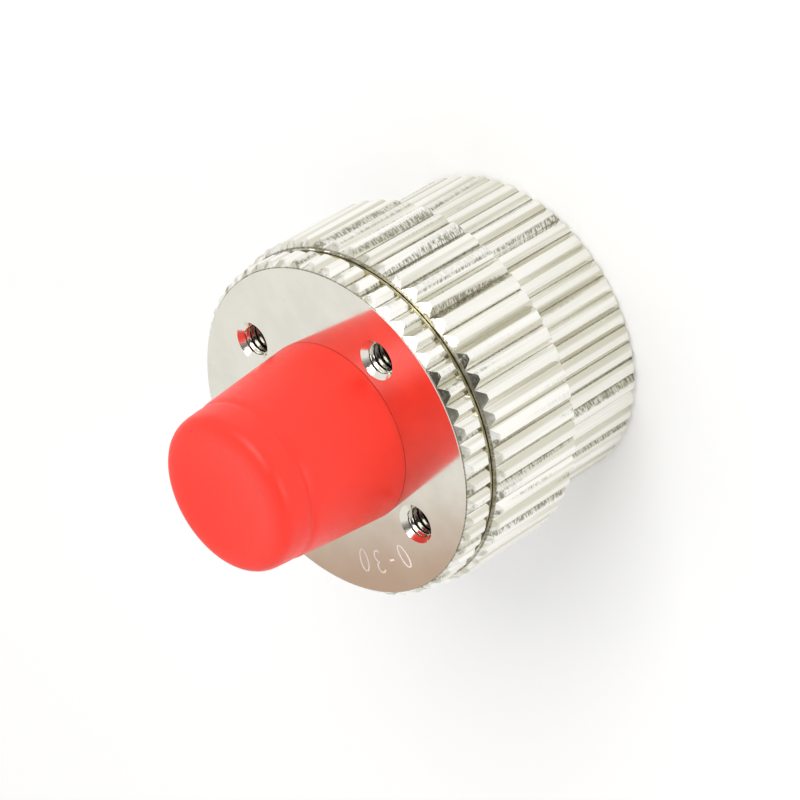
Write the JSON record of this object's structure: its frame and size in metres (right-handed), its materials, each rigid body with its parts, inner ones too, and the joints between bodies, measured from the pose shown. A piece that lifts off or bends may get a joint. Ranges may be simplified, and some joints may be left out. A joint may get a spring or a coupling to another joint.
{
  "type": "variable optical attenuator",
  "caption": "Cylindrical in-line fibre attenuator: knurled adjusting ring, flange with tapped holes, threaded ports and a soft dust cap over the front one.",
  "frame": {"origin": "centre of the rear rim, the ring-shaped face that the part stands on", "axes": "+Z along the fibre axis, from the rear rim to the front face and its dust cap; +X through a tapped hole in the front face and through both ports' key slots"},
  "size_m": [0.0216, 0.0216, 0.024],
  "materials": {
    "nickel": "polished nickel plating on brass",
    "nickel_port": "satin nickel plating on brass",
    "bare_brass": "satin turned brass",
    "bronze": "dull olive bronze",
    "sleeve_ceramic": "satin",
    "slip_plastic": "matte",
    "spring_steel": "satin",
    "seal_rubber": "matte",
    "cap_plastic": "satin soft plastic"
  },
  "bodies": {
    "rear_body": {"rear_housing": "nickel", "rear_port": "nickel_port", "rear_sleeve_holder": "bare_brass", "rear_lock_ring": "bare_brass", "alignment_sleeve": "sleeve_ceramic", "slip_washer": "slip_plastic", "retaining_wire": "spring_steel", "drag_ring": "seal_rubber", "backlash_spring": "spring_steel"},
    "ring": {"adjusting_ring": "nickel"},
    "front_body": {"front_flange": "nickel", "front_port": "nickel_port", "front_sleeve_holder": "bare_brass", "front_lock_ring": "bare_brass", "gap_washer": "bronze", "stop_ring": "spring_steel", "guide_pins": "spring_steel"},
    "cap": {"front_dust_cap": "cap_plastic"}
  },
  "joints": [
    {"name": "ring_turn", "type": "hinge", "parent": "rear_body", "child": "ring", "pos_m": [0, 0, 0.00985], "axis": [0, 0, 1], "range_deg": [-1536, 0]},
    {"name": "gap_slide", "type": "slide", "parent": "rear_body", "child": "front_body", "axis": [0, 0, 1], "range_m": [0, 0.0032], "deforming": ["backlash_spring"]},
    {"name": "cap_pull", "type": "slide", "parent": "front_body", "child": "cap", "axis": [0, 0, 1], "range_m": [0, 0.01]}
  ],
  "couplings": [
    {"joint": "gap_slide", "follows": "ring_turn", "m_per_rad": -0.00011937}
  ]
}
